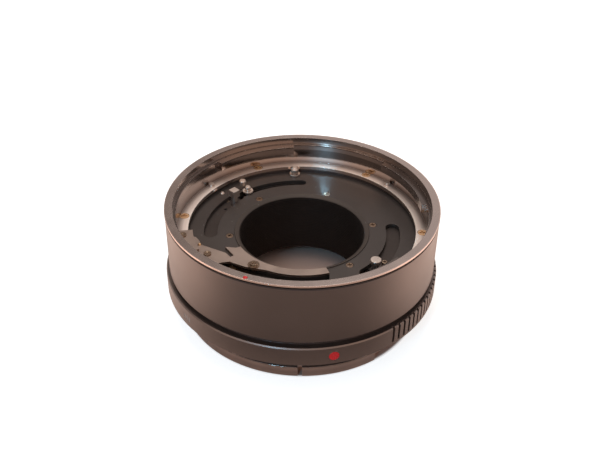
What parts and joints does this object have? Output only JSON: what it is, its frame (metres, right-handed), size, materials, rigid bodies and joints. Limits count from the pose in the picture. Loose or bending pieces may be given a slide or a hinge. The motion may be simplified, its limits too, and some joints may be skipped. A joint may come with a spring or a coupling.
{
  "type": "macro extension tube",
  "caption": "Automatic macro extension tube: bright bayonets at both ends, black barrel and grip ring, baffle tube, turning coupling rings with pins and a sprung lens lock.",
  "frame": {"origin": "on the optical axis, in the end plane of the rear bayonet", "axes": "+Z along the optical axis towards the lens, -Y towards the side with the red dots"},
  "size_m": [0.0848, 0.0856, 0.0365],
  "materials": {
    "bright_chrome": "bright turned chrome",
    "black_anodised": "satin black",
    "black_plate": "semi-matt black",
    "plain_steel": "plain turned steel",
    "grey_sheet_steel": "dull grey sheet",
    "brass": "plain brass",
    "red_paint": "gloss red paint"
  },
  "bodies": {
    "casing": {"front_mount_ring": "bright_chrome", "front_mount_screws": "brass", "mount_stop_pin": "plain_steel", "front_index_dot": "red_paint", "outer_barrel": "black_anodised", "grip_ring": "black_anodised", "rear_index_dot": "red_paint", "grip_ring_screws": "plain_steel", "front_plate": "black_plate", "front_plate_screws": "plain_steel", "round_guide_pin": "plain_steel", "flanged_guide_pin": "plain_steel", "plate_rivet": "plain_steel", "baffle_tube": "black_plate", "bracket_plate": "grey_sheet_steel", "bracket_screws": "plain_steel", "bracket_shoulder_screw": "plain_steel", "bracket_pip": "brass", "ring_spacer": "brass", "ring_keeper": "black_plate", "plate_pillars": "brass", "pillar_screws": "plain_steel", "spring_post": "plain_steel", "rear_plate": "black_plate", "rear_mount_ring": "bright_chrome", "rear_mount_screws": "plain_steel", "unlocking_ring_clips": "plain_steel", "lock_spring": "plain_steel", "release_return_spring": "plain_steel"},
    "drive_ring_set": {"drive_ring": "black_plate", "drive_ring_screw": "plain_steel", "round_drive_pin": "plain_steel", "square_drive_pin": "plain_steel", "drive_forks": "plain_steel", "drive_fork_screws": "plain_steel"},
    "release_ring_set": {"release_ring": "black_plate", "release_post": "plain_steel", "release_fork": "plain_steel"},
    "lock_pin_set": {"lock_pin": "plain_steel", "lock_cross_pin": "plain_steel"},
    "unlocking_ring_set": {"unlocking_ring": "plain_steel", "unlocking_thumb_piece": "black_anodised", "thumb_piece_rivet": "plain_steel"}
  },
  "joints": [
    {"name": "drive_ring_turn", "type": "hinge", "parent": "casing", "child": "drive_ring_set", "pos_m": [0, 0, 0.0236], "axis": [0, 0, 1], "range_deg": [0, 38]},
    {"name": "release_ring_turn", "type": "hinge", "parent": "casing", "child": "release_ring_set", "pos_m": [0, 0, 0.021], "axis": [0, 0, 1], "range_deg": [-38, 0], "stiffness_Nm_per_rad": 0.02, "springref_deg": 20.05},
    {"name": "unlocking_ring_turn", "type": "hinge", "parent": "casing", "child": "unlocking_ring_set", "pos_m": [0, 0, 0.0203], "axis": [0, 0, 1], "range_deg": [0, 8]},
    {"name": "lock_pin_slide", "type": "slide", "parent": "casing", "child": "lock_pin_set", "axis": [0, 0, -1], "range_m": [0, 0.0015], "stiffness_N_per_m": 20, "springref_m": -0.004, "deforming": ["lock_spring"]}
  ],
  "couplings": [
    {"joint": "unlocking_ring_turn", "follows": "lock_pin_slide", "rad_per_m": 93}
  ]
}
